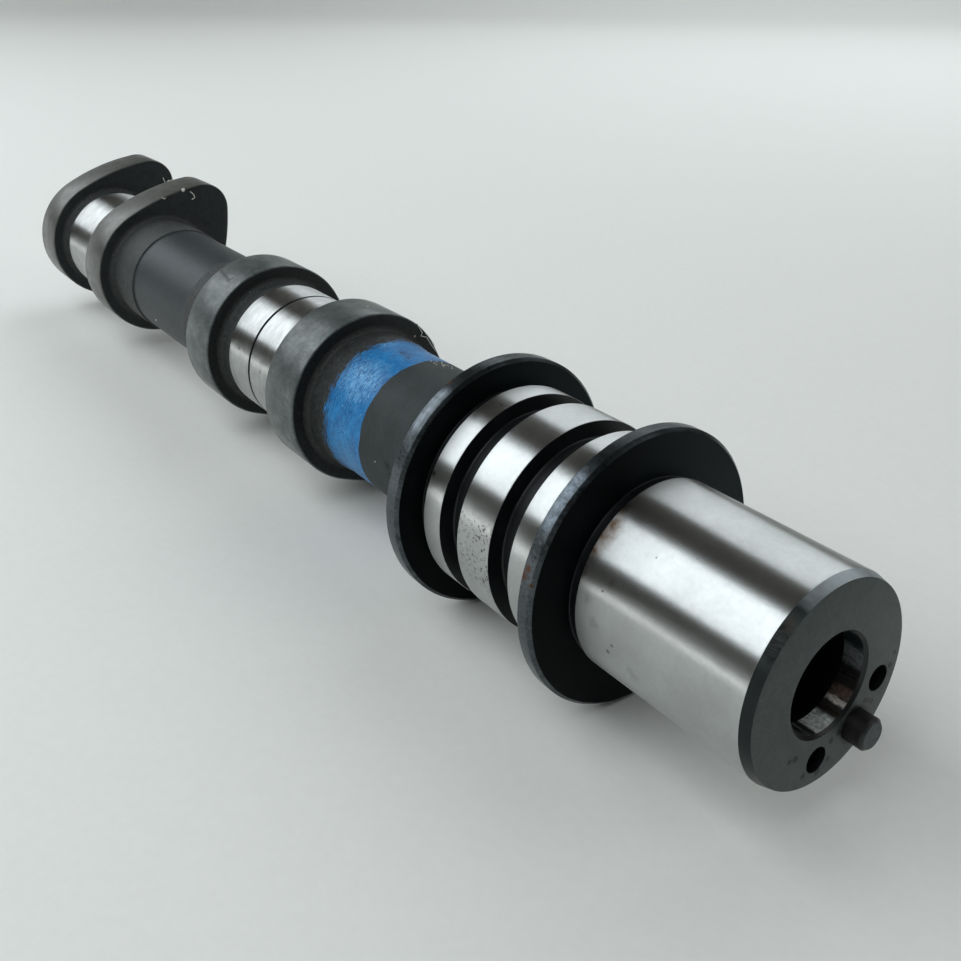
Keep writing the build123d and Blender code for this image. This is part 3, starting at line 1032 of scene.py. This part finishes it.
def make_floor():
    """A plain pale floor that sweeps up into a wall behind the shaft and another behind the camera."""
    away = Vector((cos(radians(camera_heading)), sin(radians(camera_heading)), 0))
    across = Vector((-away.y, away.x, 0))
    wall_distance, sweep, half_width, height = 1.5, 0.6, 14.0, 2.4
    sweep_steps = 12
    ahead = [(wall_distance, 0.0)]
    for step in range(1, sweep_steps + 1):
        turn = radians(90 * step / sweep_steps)
        ahead.append((wall_distance + sweep * sin(turn), sweep * (1 - cos(turn))))
    ahead.append((wall_distance + sweep, height))
    profile = [(-reach, rise) for reach, rise in reversed(ahead)] + ahead
    sheet = bmesh.new()
    edges = []
    for reach, rise in profile:
        middle = away * reach + Vector((0, 0, cad_low.z + rise))
        edges.append([sheet.verts.new(middle + across * side) for side in (-half_width, half_width)])
    for here, following in zip(edges, edges[1:]):
        sheet.faces.new((here[0], following[0], following[1], here[1]))
    floor = as_object("floor", sheet)
    for face in floor.data.polygons:
        face.use_smooth = True
    material, tree, where = open_finish("pale_paper_sweep")
    colour = layered(tree, "#dadad6", [(mottling(tree, where, 1.5, 0.3), "#dededa")])
    close_finish(tree, base_color=colour, roughness=0.75)
    floor.data.materials.append(material)


def soft_light(name, centre, facing, length, width, radiance, turned=0.0, colour="#ffffff"):
    """A soft light of an even radiance that shines one way, its length near X or turned from it."""
    data = bpy.data.lights.new(name, "AREA")
    data.shape = "RECTANGLE"
    data.size = length
    data.size_y = width
    data.energy = radiance * pi * width * length
    data.color = linear(colour)[:3]
    light = bpy.data.objects.new(name, data)
    bpy.context.scene.collection.objects.link(light)
    back = -Vector(facing).normalized()
    across = back.cross(Vector((cos(radians(turned)), sin(radians(turned)), 0))).normalized()
    turn = Matrix((across.cross(back), across, back)).transposed()
    light.matrix_world = Matrix.Translation(Vector(centre)) @ turn.to_4x4()
    light.visible_camera = False


def make_lights():
    """Ceiling panels with a dark gap over the shaft, a low panel, a weak front light and a dim room."""
    ceiling = 0.62
    cool = "#f4fbff"
    down = (0, 0, -1)
    soft_light("left_panel", (-0.95, -0.73, ceiling), down, 2.5, 1.06, 2.6, 0, cool)
    soft_light("left_panel_end", (-1.35, -0.13, ceiling), down, 1.7, 0.14, 2.6, 0, cool)
    soft_light("low_panel", (-0.17, -0.305, cad_low.z + 0.002), (0, 0, 1), 0.36, 0.22, 2.0)
    soft_light("right_panel", (-0.45, 1.08, ceiling), down, 1.35, 1.45, 1.7, -22, cool)
    soft_light("front_box", (0.6, 0.5, 0.55), (-0.6, -0.5, -0.55), 0.5, 0.5, 1.2)
    world = bpy.data.worlds.new("dim_room")
    world.use_nodes = True
    world.node_tree.nodes["Background"].inputs["Color"].default_value = linear("#42403c")
    bpy.context.scene.world = world


def make_camera():
    """The photograph's viewing angle. The shift puts the middle of its own frame where the shaft left it."""
    heading, pitch, roll = radians(camera_heading), radians(camera_pitch), radians(camera_roll)
    look = Vector((cos(pitch) * cos(heading), cos(pitch) * sin(heading), sin(pitch)))
    data = bpy.data.cameras.new("camera")
    data.sensor_width = 36.0
    data.lens = 41.67
    data.shift_x, data.shift_y = 0.0578, -0.167
    data.clip_start = 0.01
    camera = bpy.data.objects.new("camera", data)
    bpy.context.scene.collection.objects.link(camera)
    turn = look.to_track_quat("-Z", "Y").to_matrix() @ Matrix.Rotation(roll, 3, "Z")
    camera.matrix_world = Matrix.Translation(Vector(camera_place) * MM) @ turn.to_4x4()
    bpy.context.scene.camera = camera


make_camera()
make_shaft()
make_dowel()
make_dust()
make_floor()
make_lights()
bpy.context.scene.view_settings.view_transform = "Standard"
